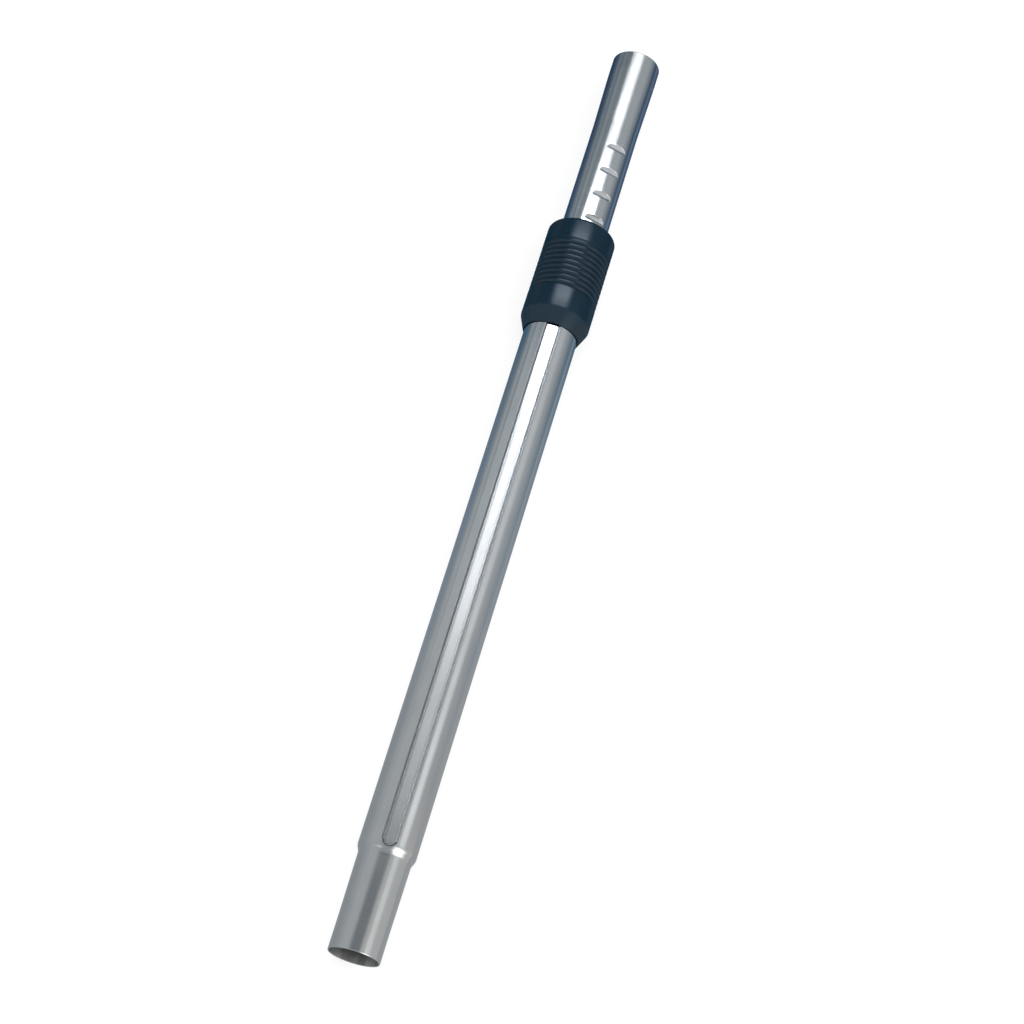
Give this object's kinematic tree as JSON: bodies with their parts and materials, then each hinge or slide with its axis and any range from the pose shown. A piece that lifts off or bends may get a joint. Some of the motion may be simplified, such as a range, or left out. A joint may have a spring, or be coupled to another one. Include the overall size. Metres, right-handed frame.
{
  "type": "vacuum extension wand",
  "caption": "Telescopic steel suction wand: a notched inner tube slides in a grooved outer tube and locks under a ribbed grip sleeve that is pulled down to release it.",
  "frame": {"origin": "centre of the floor end's mouth, on the wand's axis", "axes": "+X runs along the wand from the floor end to the handle end; +Z points out through the row of notches, which faces up as the wand lies on a surface"},
  "size_m": [0.732, 0.0516, 0.0516],
  "materials": {
    "tube_steel": "polished plated steel tube",
    "grip_black": "satin black moulding",
    "guide_grey": "plain grey moulding",
    "spring_steel": "bright drawn steel",
    "seal_rubber": "soft black rubber",
    "wiper_felt": "pressed grey felt"
  },
  "bodies": {
    "outer": {"outer_tube": "tube_steel", "lock_carrier": "guide_grey", "nose_ring": "guide_grey", "felt_wiper": "wiper_felt", "tube_seal": "seal_rubber", "spring_washer": "spring_steel", "return_spring": "spring_steel"},
    "sleeve": {"grip_sleeve": "grip_black", "sleeve_cap": "grip_black", "cam_slide": "guide_grey"},
    "lock": {"lock_roller": "spring_steel"},
    "inner": {"inner_tube": "tube_steel", "guide_bush": "guide_grey", "bush_felt": "wiper_felt"}
  },
  "joints": [
    {"name": "tube_slide", "type": "slide", "parent": "outer", "child": "inner", "axis": [1, 0, 0], "range_m": [-0.11, 0.286]},
    {"name": "sleeve_slide", "type": "slide", "parent": "outer", "child": "sleeve", "axis": [-1, 0, 0], "range_m": [0, 0.007], "stiffness_N_per_m": 1200, "springref_m": -0.004, "deforming": ["return_spring"]},
    {"name": "lock_lift", "type": "slide", "parent": "outer", "child": "lock", "axis": [0, 0, 1], "range_m": [0, 0.0021]}
  ],
  "couplings": [
    {"joint": "lock_lift", "follows": "sleeve_slide", "ratio": 0.3}
  ]
}
